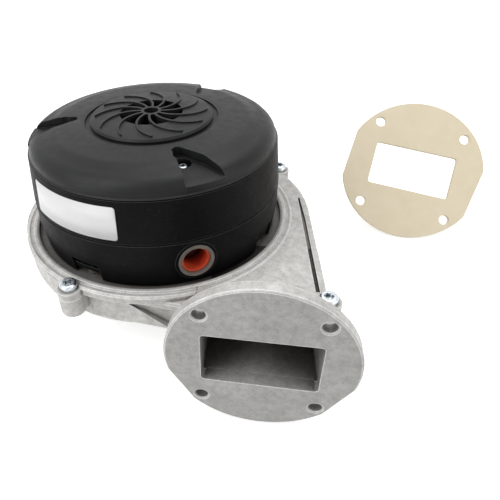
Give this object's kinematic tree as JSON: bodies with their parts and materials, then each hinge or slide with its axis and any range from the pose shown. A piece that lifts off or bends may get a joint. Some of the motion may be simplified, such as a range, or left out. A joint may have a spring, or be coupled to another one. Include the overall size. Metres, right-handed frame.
{
  "type": "radial exhaust fan",
  "caption": "Radial exhaust fan: external-rotor motor under a round black hood on a cast aluminium scroll, with a round outlet flange, a rectangular port and a loose flange gasket.",
  "frame": {"origin": "centre of the round inlet, on the face of the inlet ring", "axes": "+Z along the motor axis towards the hood, -Y the way the air leaves the outlet, +X to the outlet's side"},
  "size_m": [0.314, 0.211, 0.1302],
  "materials": {
    "cast_aluminium": "die-cast, satin, mottled",
    "machined_aluminium": "turned, satin",
    "sheet_aluminium": "rolled sheet, satin",
    "black_rubber": "matt",
    "zinc_screws": "zinc plated, semi-gloss",
    "black_plastic_ring": "moulded, satin",
    "black_plastic_cover": "moulded, fine grain, satin",
    "gasket_cream": "matt, smooth",
    "grommet_grey": "matt",
    "orange_silicone": "satin",
    "bearing_steel": "ground",
    "laminated_steel": "stacked laminations",
    "white_plastic": "moulded",
    "copper_winding": "enamelled copper wire",
    "plated_steel": "deep-drawn, zinc plated",
    "magnet_dark": "sintered, coated",
    "wheel_plastic": "moulded",
    "board_green": "solder mask",
    "capacitor_sleeve": "shrink sleeve",
    "black_resin": "moulded resin"
  },
  "bodies": {
    "root": {"bearing_ball_sets": "bearing_steel", "bearing_outer_rings": "bearing_steel", "bearing_tube": "machined_aluminium", "bearing_tube_screws": "zinc_screws", "board_capacitors": "capacitor_sleeve", "board_screws": "zinc_screws", "cable_grommet": "orange_silicone", "circuit_board": "board_green", "cover_screws": "zinc_screws", "grommet_ring": "grommet_grey", "heat_sink": "machined_aluminium", "hood_cover": "black_plastic_cover", "hood_ring": "black_plastic_ring", "housing_screws": "zinc_screws", "housing_seal": "black_rubber", "lower_casting": "cast_aluminium", "motor_base": "black_plastic_ring", "motor_mount_screws": "zinc_screws", "outlet_gasket": "gasket_cream", "power_module": "black_resin", "shaft_seal": "black_rubber", "stator_core": "laminated_steel", "stator_insulators": "white_plastic", "stator_windings": "copper_winding", "supply_connector": "white_plastic", "upper_casting": "cast_aluminium", "wave_washer": "bearing_steel"},
    "rotor": {"bearing_inner_rings": "bearing_steel", "cooling_wheel": "wheel_plastic", "impeller_back_plate": "sheet_aluminium", "impeller_blades": "sheet_aluminium", "impeller_hub": "machined_aluminium", "impeller_nut": "zinc_screws", "impeller_shroud": "sheet_aluminium", "impeller_washer": "zinc_screws", "rotor_cup": "plated_steel", "rotor_magnets": "magnet_dark", "shaft": "bearing_steel"}
  },
  "joints": [
    {"name": "rotor_spin", "type": "hinge", "parent": "root", "child": "rotor", "pos_m": [0, 0, 0.03], "axis": [0, 0, 1], "continuous": true}
  ]
}
